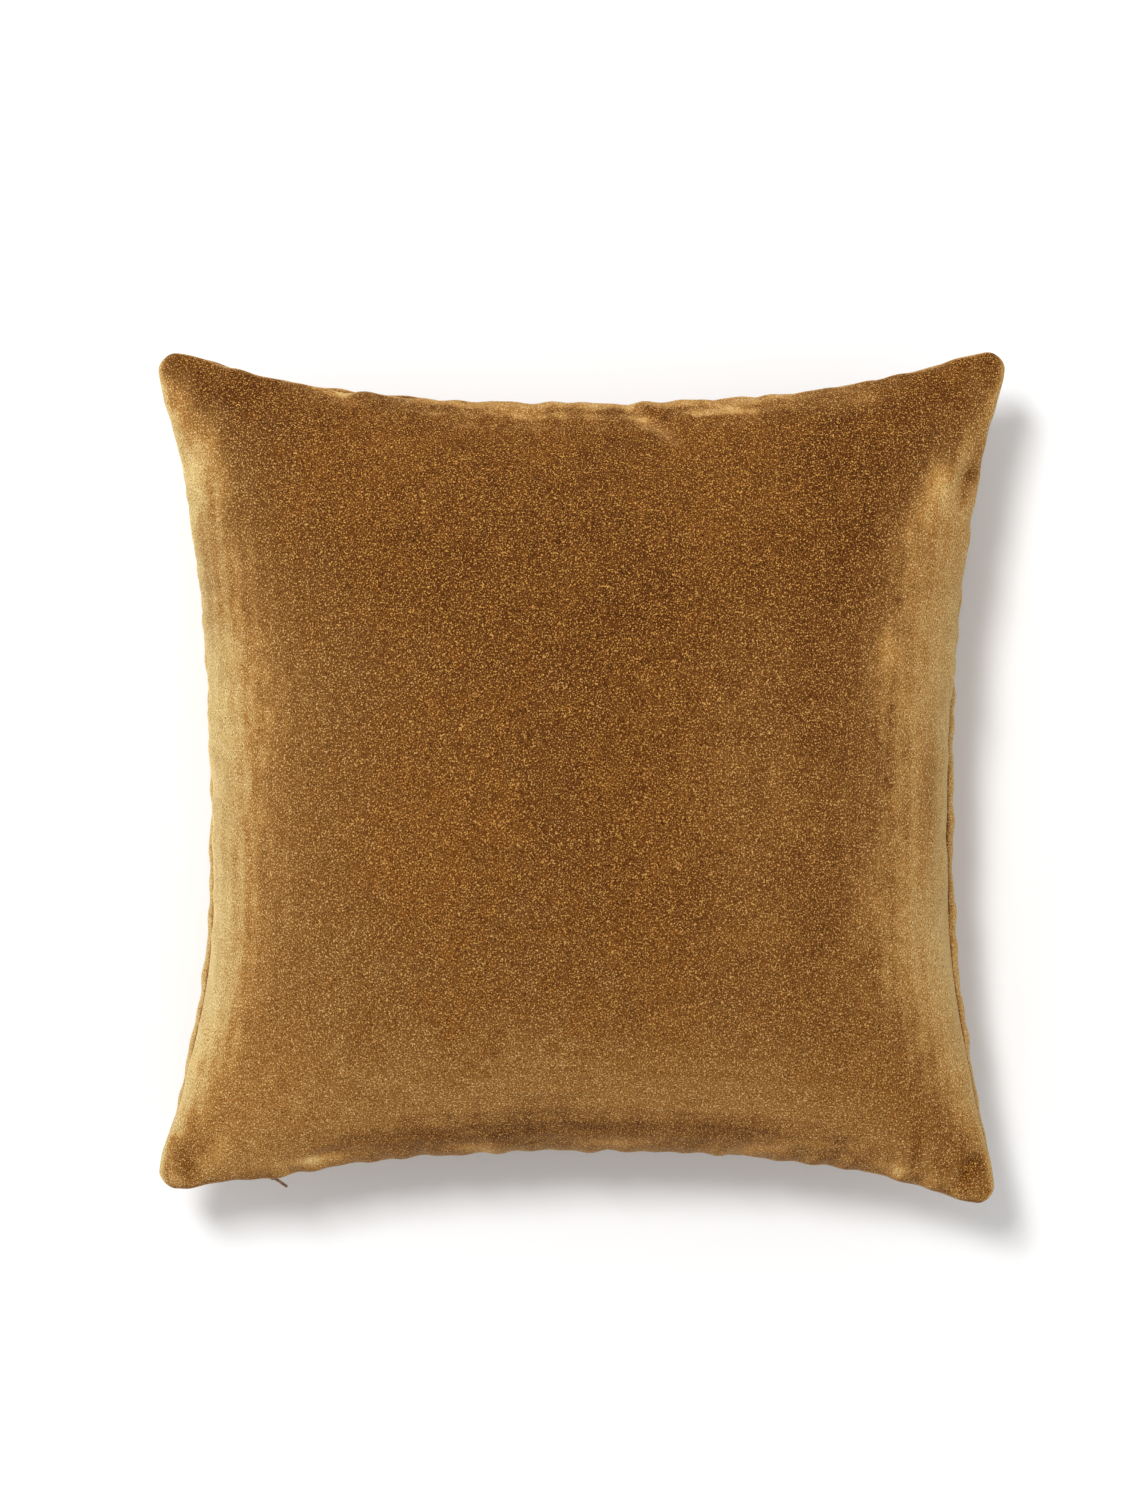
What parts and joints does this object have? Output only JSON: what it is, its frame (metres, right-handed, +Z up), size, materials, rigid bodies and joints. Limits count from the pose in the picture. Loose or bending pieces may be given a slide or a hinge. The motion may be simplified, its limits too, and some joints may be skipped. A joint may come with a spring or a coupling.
{
  "type": "throw pillow",
  "caption": "Square velvet throw pillow with pulled-in sides and pointed corners, closed by a concealed zipper along one edge, with a separate filled insert.",
  "frame": {"origin": "middle of the flat patch that the pillow rests on, under the middle of the pillow", "axes": "+Z up through the front panel, +X along the zipper side towards the end where the zipper opens, +Y away from the zipper side"},
  "size_m": [0.4972, 0.4972, 0.165],
  "materials": {
    "velvet_front": "velvet pile",
    "velvet_back": "velvet pile",
    "cover_thread": "matt polyester thread",
    "insert_cotton": "plain weave",
    "insert_thread": "matt polyester thread",
    "fibre_filling": "loose fibre",
    "label_satin": "satin, blank",
    "zipper_tape": "woven polyester tape",
    "zipper_coil": "nylon monofilament",
    "zipper_metal": "antique bronze",
    "pull_metal": "antique bronze, worn to copper"
  },
  "bodies": {
    "cover": {"front_panel": "velvet_front", "back_panel": "velvet_back", "seam_thread": "cover_thread", "insert_front": "insert_cotton", "insert_back": "insert_cotton", "insert_seam_thread": "insert_thread", "filling": "fibre_filling", "care_label": "label_satin", "insert_label": "label_satin", "zipper_tape_front": "zipper_tape", "zipper_tape_back": "zipper_tape", "zipper_coil_front": "zipper_coil", "zipper_coil_back": "zipper_coil", "tape_stitching_front": "cover_thread", "tape_stitching_back": "cover_thread", "zipper_top_stop": "zipper_metal", "zipper_bottom_stop": "zipper_metal"},
    "zipper_slider": {"zipper_slider": "zipper_metal"},
    "zipper_pull": {"zipper_pull": "pull_metal"}
  },
  "joints": [
    {"name": "slider_travel", "type": "hinge", "parent": "cover", "child": "zipper_slider", "pos_m": [0, -1.2185, 0.08], "axis": [0, 0, -1], "range_deg": [0, 20.8]},
    {"name": "pull_swing", "type": "hinge", "parent": "zipper_slider", "child": "zipper_pull", "pos_m": [-0.18256, -0.23754, 0.08], "axis": [0, 0, 1], "range_deg": [-127, 32]}
  ]
}
